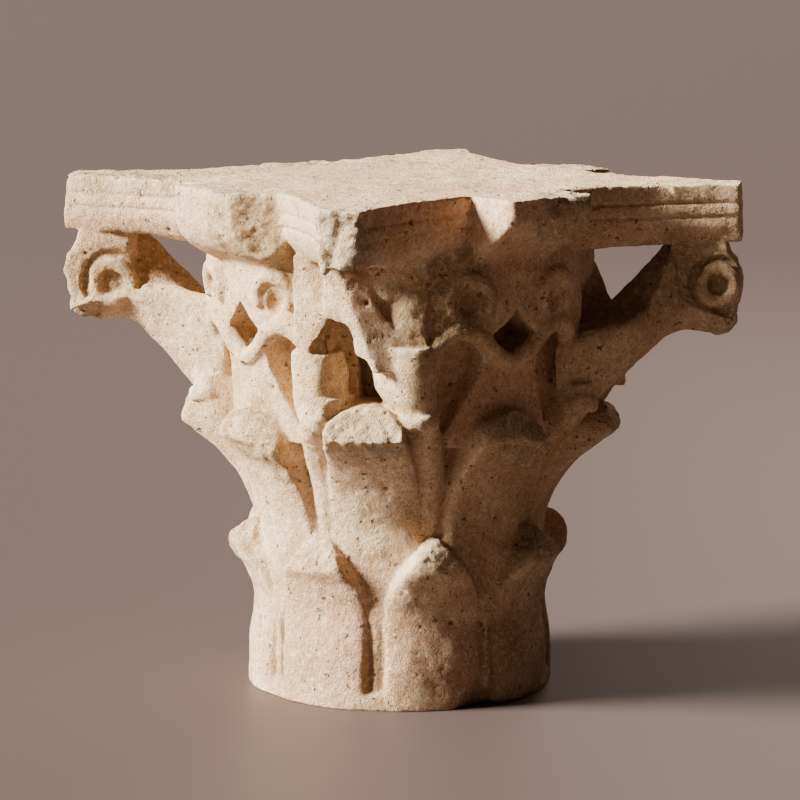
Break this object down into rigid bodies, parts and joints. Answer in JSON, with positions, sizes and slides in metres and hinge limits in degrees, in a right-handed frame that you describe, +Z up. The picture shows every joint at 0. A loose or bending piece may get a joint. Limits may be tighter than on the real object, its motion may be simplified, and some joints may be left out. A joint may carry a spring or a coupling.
{
  "type": "corinthian capital",
  "caption": "Weathered limestone column capital with leaf rows, stalks, corner volutes, one broken off, and a hollow-sided slab on top.",
  "frame": {"origin": "middle of the underside, on the surface that the capital stands on", "axes": "+Z up through the axis of the bell, +X and +Y square to two hollow sides of the slab; the broken corner is at +X -Y"},
  "size_m": [0.4484, 0.4484, 0.45],
  "materials": {
    "limestone": "rough, dry weathered limestone"
  },
  "bodies": {
    "root": {"capital": "limestone"}
  },
  "joints": []
}
